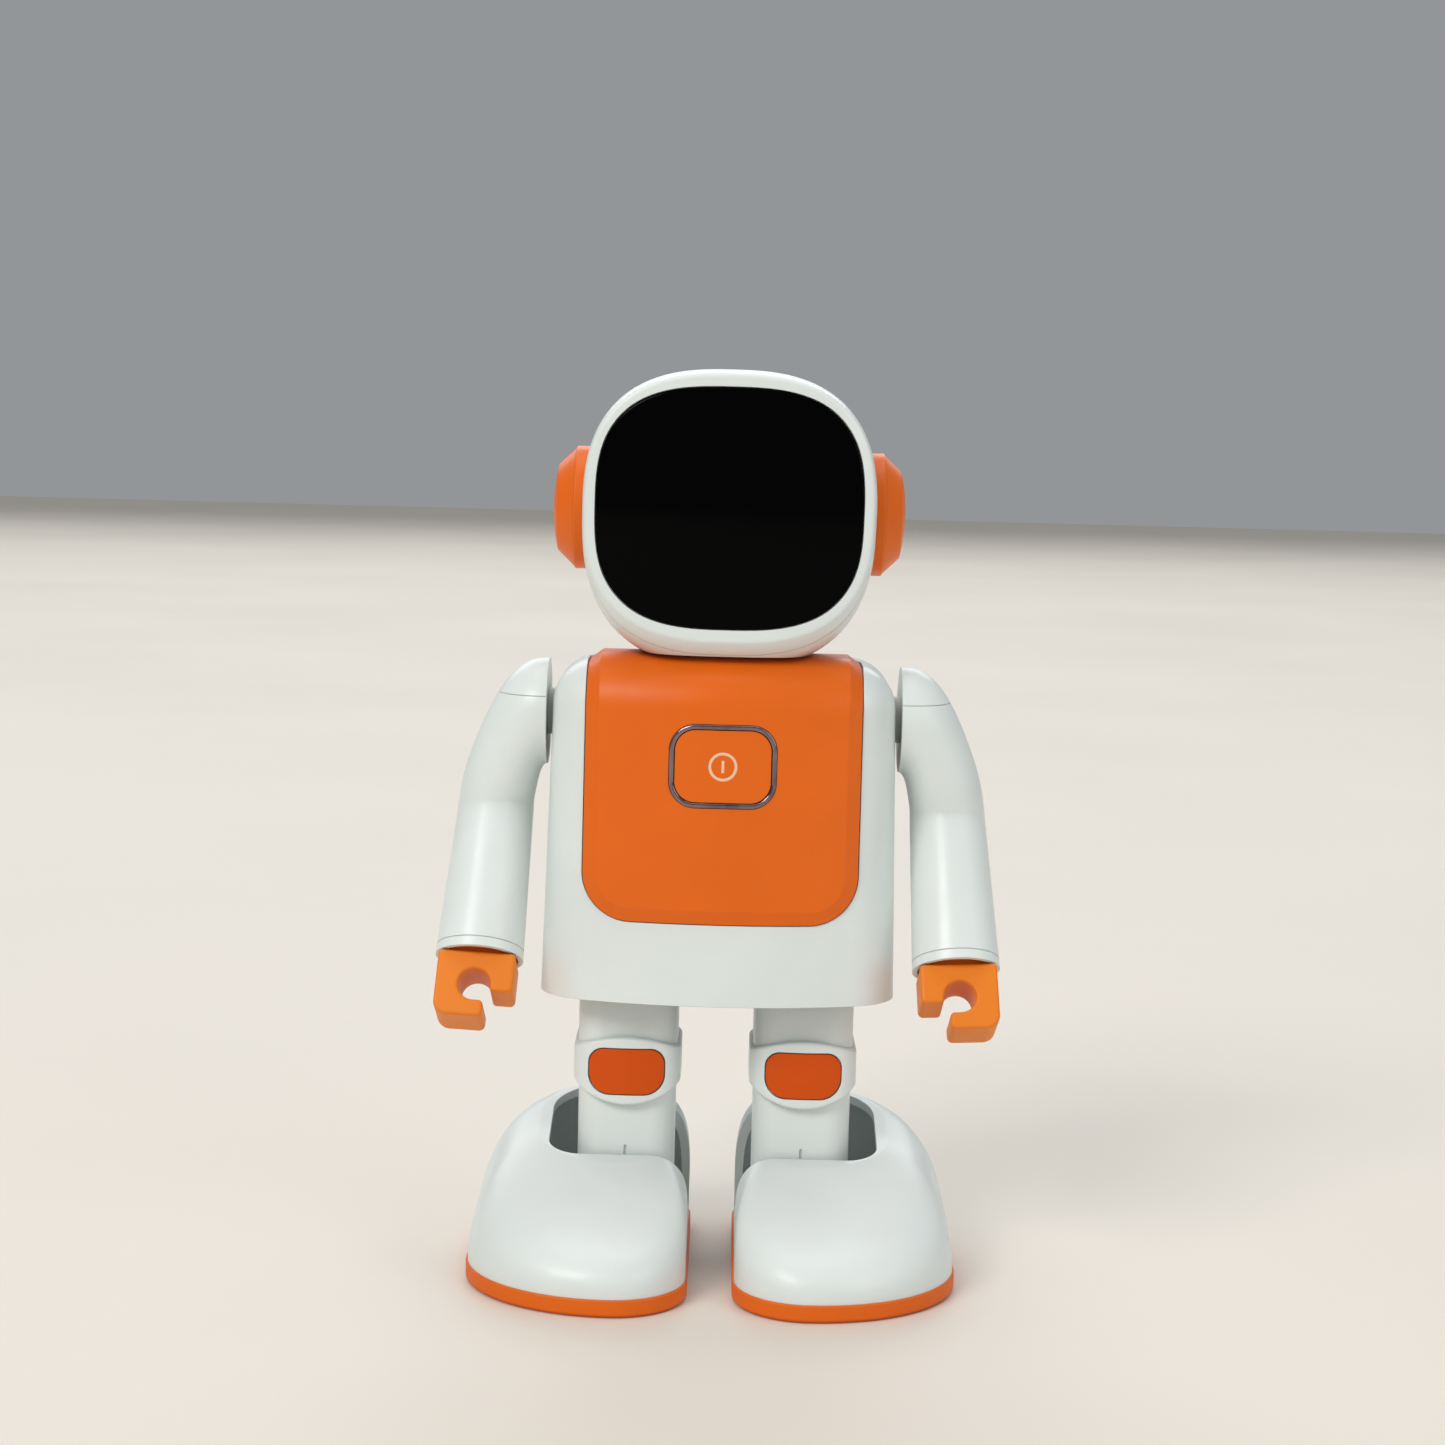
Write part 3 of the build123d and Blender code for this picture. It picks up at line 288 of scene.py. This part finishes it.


# Linear colours of the plastics; RUBBED shows on worn edges, and the seam colours are painted shade
# with some grime.
WHITE = (0.757, 0.812, 0.792)
RUBBED_WHITE = (0.86, 0.88, 0.86)
SHADE_AND_GRIME_WHITE = (0.36, 0.35, 0.32)
ORANGE = (0.800, 0.138, 0.002)
RUBBED_ORANGE = (0.90, 0.24, 0.035)
SHADE_AND_GRIME_ORANGE = (0.24, 0.035, 0.004)
# Next, the orange of the knee pads, made darker as painted shade from the torso above them.
SHADED_ORANGE = (0.660, 0.080, 0.001)
SOFT_ORANGE = (0.830, 0.210, 0.003)
COARSE_GRAIN = {"grain": 1900.0, "grain_depth": 1.4e-5}

# The elbow lies between these shares of the sleeve's height.
ELBOW_LOW, ELBOW_HIGH = 0.42, 0.72
sleeve_low, sleeve_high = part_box("sleeve_left")
sleeve_height = sleeve_high.z - sleeve_low.z
elbow_levels = (sleeve_low.z + ELBOW_LOW * sleeve_height, sleeve_low.z + ELBOW_HIGH * sleeve_height)

# In each finish, the colour after the roughness is the worn edge. The next one is the seam colour:
# painted shade on white and orange, dust on the dark plastics.
finishes = {
    "white": moulded("white_plastic", WHITE, 0.36, RUBBED_WHITE, SHADE_AND_GRIME_WHITE, coat=0.08),
    "sleeve": moulded("sleeve_plastic", WHITE, 0.36, RUBBED_WHITE, SHADE_AND_GRIME_WHITE, coat=0.08,
                      soft_bend=elbow_levels),
    "orange": moulded("orange_plastic", ORANGE, 0.40, RUBBED_ORANGE, SHADE_AND_GRIME_ORANGE, specular=0.32),
    "shaded_orange": moulded("shaded_orange_plastic", SHADED_ORANGE, 0.40, (0.82, 0.18, 0.02),
                           (0.20, 0.028, 0.003), specular=0.2),
    "rubber": moulded("orange_rubber", ORANGE, 0.52, RUBBED_ORANGE, SHADE_AND_GRIME_ORANGE, specular=0.3,
                      **COARSE_GRAIN),
    "soft_orange": moulded("soft_orange_plastic", SOFT_ORANGE, 0.48, (0.95, 0.33, 0.07),
                           (0.24, 0.04, 0.006), **COARSE_GRAIN),
    "icon": moulded("icon_inlay", (0.93, 0.56, 0.37), 0.42, (0.95, 0.70, 0.52), (0.60, 0.30, 0.17)),
    "inner": moulded("inner_plastic", (0.05, 0.05, 0.053), 0.5, (0.12, 0.12, 0.12), (0.1, 0.095, 0.085),
                     grain=1500.0, grain_depth=2.5e-5),
    "servo": moulded("servo_case", (0.022, 0.022, 0.026), 0.42, (0.09, 0.09, 0.09), (0.07, 0.065, 0.06),
                     grain=1800.0, grain_depth=2e-5),
    "lens": lens_finish(),
    "chrome": chrome_finish(),
    "steel": steel_finish(),
    "board": board_finish(),
    "film": film_finish(),
    "cloth": cloth_finish(),
}

finish_of_slot = {
    "white_shell": "white",
    "orange_panel": "orange",
    "orange_soft": "soft_orange",
    "chrome_trim": "chrome",
    "icon_print": "icon",
    "face_lens": "lens",
    "inner_plastic": "inner",
    "battery_wrap": "film",
    "circuit_board": "board",
    "servo_case": "servo",
    "steel": "steel",
}

slot_of_node = {part["node"]: part["material_slot"] for part in frame["record"]["subparts"]}
# The knee pads take the orange darkened as painted shade.
finish_of_piece = {"sleeve": "sleeve", "knee_pad": "shaded_orange", "sole": "rubber"}
for name, node in frame["nodes"].items():
    piece = name.removesuffix("_left").removesuffix("_right")
    finish = finish_of_piece.get(piece, finish_of_slot[slot_of_node[name]])
    node.data.materials.clear()
    node.data.materials.append(finishes[finish])


# ---------------------------------------------------------------- fine pieces
def mesh_piece(name, build, finish, body):
    """A new piece from a function that fills a bmesh, riding on a CAD body."""
    data = bpy.data.meshes.new(name)
    shape = bmesh.new()
    build(shape)
    bmesh.ops.recalc_face_normals(shape, faces=shape.faces)
    shape.to_mesh(data)
    shape.free()
    for face in data.polygons:
        face.use_smooth = True
    data.materials.append(finishes[finish])
    piece = bpy.data.objects.new(name, data)
    bpy.context.scene.collection.objects.link(piece)
    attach(piece, body)
    return piece


def lathe(shape, profile, centre, steps=64):
    """Turn a profile of (radius, depth along +Y) about the Y axis through centre."""
    rings = []
    for radius, depth in profile:
        ring = []
        for step in range(steps):
            angle = math.tau * step / steps
            ring.append(shape.verts.new(
                centre + Vector((radius * math.cos(angle), depth, radius * math.sin(angle)))))
        rings.append(ring)
    for first, second in zip(rings, rings[1:]):
        for step in range(steps):
            following = (step + 1) % steps
            shape.faces.new((first[step], first[following], second[following], second[step]))
    for ring in (rings[0], rings[-1]):
        shape.faces.new(ring)


speaker_low, speaker_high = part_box("speaker_driver")
speaker_centre = (speaker_low + speaker_high) / 2


def speaker_cloth(shape):
    """Disc of cloth stretched over the driver's rim, just behind the grille."""
    radius = (speaker_high.x - speaker_low.x) / 2 - 0.3 * MM
    hub = 0.4 * MM
    seat = speaker_high.y - speaker_centre.y + 0.02 * MM
    profile = [(radius, seat), (radius, seat + 0.28 * MM), (radius * 0.6, seat + 0.36 * MM),
               (hub, seat + 0.4 * MM), (hub, seat)]
    lathe(shape, profile, speaker_centre)


mesh_piece("speaker_cloth", speaker_cloth, "cloth", "torso")


# ---------------------------------------------------------------- floor, light and camera
def make_floor():
    """Plain pale floor, 12 m square."""
    reach = 6.0
    data = bpy.data.meshes.new("floor")
    corners = [(-reach, -reach, 0), (reach, -reach, 0), (reach, reach, 0), (-reach, reach, 0)]
    data.from_pydata(corners, [], [(0, 1, 2, 3)])
    floor = bpy.data.objects.new("floor", data)
    bpy.context.scene.collection.objects.link(floor)
    g = Graph("floor_paint")
    cloud = g.noise(3.0, detail=4.0)
    g.colour(g.mix(g.span(cloud, 0.3, 0.7), (0.72, 0.665, 0.585), (0.76, 0.70, 0.62)))
    g.roughness(g.span(cloud, 0.3, 0.7, 0.55, 0.62))
    data.materials.append(g.material)


def area_light(name, place, aim, size, power, tint):
    """Soft rectangular lamp of (width, height) in metres, turned towards aim."""
    data = bpy.data.lights.new(name, "AREA")
    data.shape = "RECTANGLE"
    data.size, data.size_y = size
    data.energy = power
    data.color = tint
    lamp = bpy.data.objects.new(name, data)
    lamp.location = place
    lamp.rotation_euler = (Vector(aim) - Vector(place)).to_track_quat("-Z", "Y").to_euler()
    bpy.context.scene.collection.objects.link(lamp)


make_floor()
chest = (0.0, 0.0, 0.13)
area_light("key_light", (-2.4, -3.2, 3.0), chest, (2.2, 1.6), 112.0, (1.0, 0.985, 0.96))
area_light("fill_light", (3.2, -2.4, 1.8), chest, (3.0, 2.5), 38.0, (0.96, 0.98, 1.0))
area_light("top_light", (0.0, 0.4, 4.0), chest, (3.5, 3.0), 60.0, (1.0, 1.0, 1.0))
area_light("back_light", (-0.3, 4.0, 2.4), chest, (5.0, 2.0), 76.0, (0.95, 0.98, 1.0))

world = bpy.data.worlds.new("studio")
world.use_nodes = True
background = world.node_tree.nodes["Background"]
background.inputs["Color"].default_value = (0.86, 0.89, 0.92, 1.0)
background.inputs["Strength"].default_value = 0.34
bpy.context.scene.world = world
bpy.context.scene.view_settings.view_transform = "Standard"

camera_data = bpy.data.cameras.new("camera")
camera_data.sensor_width = 36.0
camera_data.lens = 72.0
camera = bpy.data.objects.new("camera", camera_data)
camera_place = Vector((-0.0004, -0.7495, 0.223))
DOWNWARD, SIDEWAYS = 6.0, 1.5        # the camera's lean in degrees
tilt = Matrix.Rotation(math.radians(90.0 - DOWNWARD), 4, "X")
roll = Matrix.Rotation(math.radians(SIDEWAYS), 4, "Z")
camera.matrix_world = Matrix.Translation(camera_place) @ tilt @ roll
bpy.context.scene.collection.objects.link(camera)
bpy.context.scene.camera = camera
